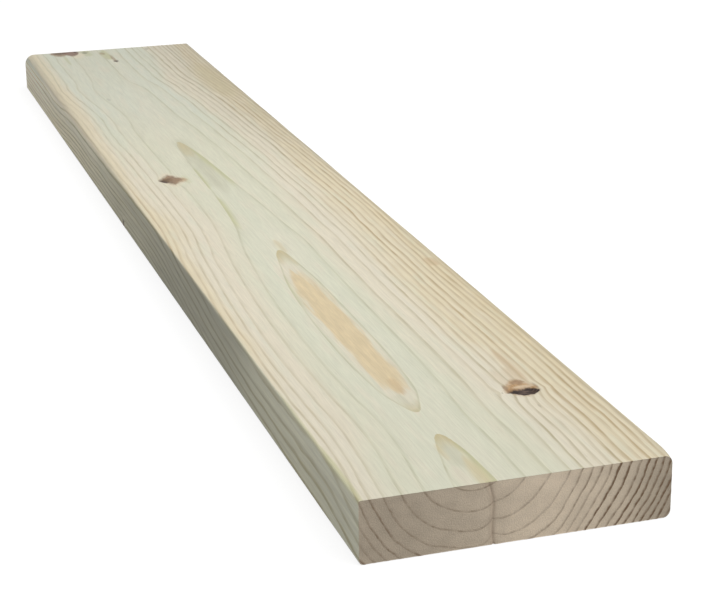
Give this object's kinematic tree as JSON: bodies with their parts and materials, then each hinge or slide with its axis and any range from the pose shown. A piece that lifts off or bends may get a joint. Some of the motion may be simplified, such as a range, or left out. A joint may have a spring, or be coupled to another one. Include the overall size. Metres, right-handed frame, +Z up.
{
  "type": "timber plank",
  "caption": "Planed softwood plank of rectangular section with eased long edges and square-cut ends, for decking, framing and shelving.",
  "frame": {"origin": "middle of the underside, on the surface that the plank lies on", "axes": "+X along the grain towards the end that faces the camera in the picture, +Y across the wide face, +Z up out of the heart-side face"},
  "size_m": [1.2192, 0.1842, 0.0381],
  "materials": {
    "treated_pine": "planed, pressure treated, matt, pale green-cream with olive-tan growth rings"
  },
  "bodies": {
    "root": {"plank": "treated_pine"}
  },
  "joints": []
}
